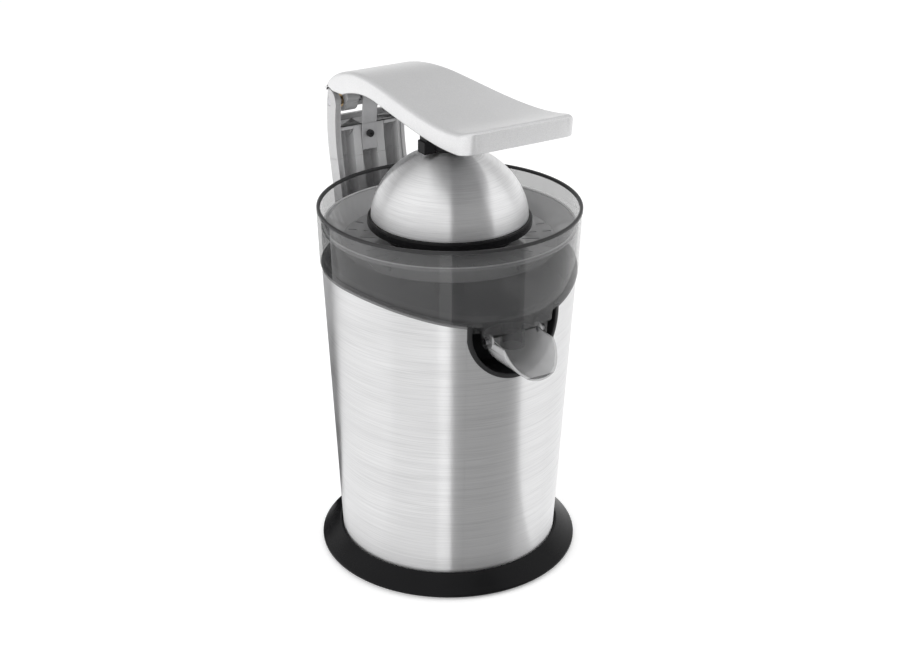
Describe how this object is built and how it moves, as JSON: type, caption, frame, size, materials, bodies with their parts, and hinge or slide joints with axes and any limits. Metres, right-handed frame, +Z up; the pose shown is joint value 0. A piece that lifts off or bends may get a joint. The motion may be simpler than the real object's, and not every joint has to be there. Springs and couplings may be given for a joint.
{
  "type": "citrus juicer",
  "caption": "Electric citrus juicer: tapered steel body, smoked collector with strainer and cone, tilting spout, and a lever arm carrying a press dome on a rear column.",
  "frame": {"origin": "on the body's axis, at the surface the foot ring stands on", "axes": "+Z up along the body's axis, -Y towards the spout, +X to the right of someone facing the spout from behind"},
  "size_m": [0.184, 0.2397, 0.3355],
  "materials": {
    "black_plastic": "satin black moulded plastic",
    "rubber": "matt black rubber",
    "screw_steel": "bright zinc-plated steel",
    "brushed_steel": "brushed stainless steel, the grain running round the body",
    "dark_trim": "dark grey satin plastic",
    "laminations": "stacked electrical steel",
    "copper": "enamelled copper wire",
    "bracket_metal": "die-cast aluminium",
    "bronze": "sintered bronze",
    "gear_plastic": "natural engineering plastic",
    "smoked_plastic": "clear smoked plastic",
    "strainer_plastic": "smoked plastic, a little denser",
    "clear_plastic": "frosted clear plastic",
    "silver_paint": "satin silver paint",
    "grey_plastic": "dark grey moulded plastic"
  },
  "bodies": {
    "body": {"base_ring": "black_plastic", "base_plate": "black_plastic", "foot_ring": "rubber", "base_screws": "screw_steel", "cord_gland": "rubber", "sleeve": "brushed_steel", "seam_trim": "dark_trim", "notch_trim": "dark_trim", "housing_foot": "black_plastic", "inner_housing": "black_plastic", "housing_collar": "black_plastic", "motor_stator": "laminations", "motor_coils": "copper", "motor_lower_bracket": "bracket_metal", "motor_upper_bracket": "bracket_metal", "motor_bearings": "bronze", "motor_bolts": "screw_steel", "gearbox_case": "black_plastic", "gearbox_cover": "black_plastic", "gearbox_screws": "screw_steel", "idler_axle": "screw_steel", "spindle_bush": "bronze", "spindle_seal": "rubber", "press_switch": "black_plastic", "return_spring": "screw_steel", "collector": "smoked_plastic", "collector_bowl": "smoked_plastic", "collector_floor": "smoked_plastic", "strainer": "strainer_plastic", "spout_pins": "screw_steel", "column_shell": "silver_paint", "column_liner": "grey_plastic", "column_screws": "screw_steel", "hinge_strap": "grey_plastic", "strap_screw": "dark_trim", "hinge_axle": "screw_steel"},
    "rotor": {"motor_rotor": "laminations", "motor_shaft": "screw_steel", "motor_fan": "black_plastic", "motor_pinion": "bronze"},
    "idler": {"idler_gear": "gear_plastic"},
    "output": {"output_gear": "gear_plastic"},
    "press": {"thrust_collar": "gear_plastic"},
    "cones": {"drive_spindle": "screw_steel", "large_cone": "black_plastic", "cone_skirt": "black_plastic", "small_cone": "black_plastic"},
    "plunger": {"switch_plunger": "gear_plastic"},
    "spout": {"spout": "clear_plastic"},
    "lever": {"arm_shell": "silver_paint", "arm_underside": "grey_plastic", "arm_screws": "screw_steel", "hinge_bushes": "bronze", "dome_mount": "black_plastic", "dome_clips": "black_plastic", "dome_pin": "screw_steel"},
    "dome": {"dome_carrier": "black_plastic", "dome_ring": "black_plastic", "press_dome": "brushed_steel"}
  },
  "joints": [
    {"name": "arm_lift", "type": "hinge", "parent": "body", "child": "lever", "pos_m": [0, 0.1168, 0.302], "axis": [-1, 0, 0], "range_deg": [0, 70]},
    {"name": "dome_swivel", "type": "hinge", "parent": "lever", "child": "dome", "pos_m": [0, 0, 0.304], "axis": [1, 0, 0], "range_deg": [-4, 4]},
    {"name": "spout_tilt", "type": "hinge", "parent": "body", "child": "spout", "pos_m": [0, -0.08, 0.1905], "axis": [-1, 0, 0], "range_deg": [0, 38]},
    {"name": "press_slide", "type": "slide", "parent": "body", "child": "press", "axis": [0, 0, -1], "range_m": [0, 0.003], "stiffness_N_per_m": 1500, "springref_m": -0.004, "deforming": ["return_spring"]},
    {"name": "cone_spin", "type": "hinge", "parent": "press", "child": "cones", "pos_m": [0, 0, 0.2], "axis": [0, 0, 1], "continuous": true},
    {"name": "output_spin", "type": "hinge", "parent": "body", "child": "output", "pos_m": [0, 0, 0.15], "axis": [0, 0, 1], "continuous": true},
    {"name": "idler_spin", "type": "hinge", "parent": "body", "child": "idler", "pos_m": [0, 0.038, 0.15], "axis": [0, 0, 1], "continuous": true},
    {"name": "rotor_spin", "type": "hinge", "parent": "body", "child": "rotor", "pos_m": [0.02758, 0.01486, 0.1], "axis": [0, 0, 1], "continuous": true},
    {"name": "plunger_slide", "type": "slide", "parent": "body", "child": "plunger", "axis": [0, 0, -1], "range_m": [0, 0.003]}
  ],
  "couplings": [
    {"joint": "output_spin", "follows": "cone_spin", "ratio": 1},
    {"joint": "idler_spin", "follows": "cone_spin", "ratio": -3.75},
    {"joint": "rotor_spin", "follows": "cone_spin", "ratio": 13.125},
    {"joint": "plunger_slide", "follows": "press_slide", "ratio": 1}
  ]
}
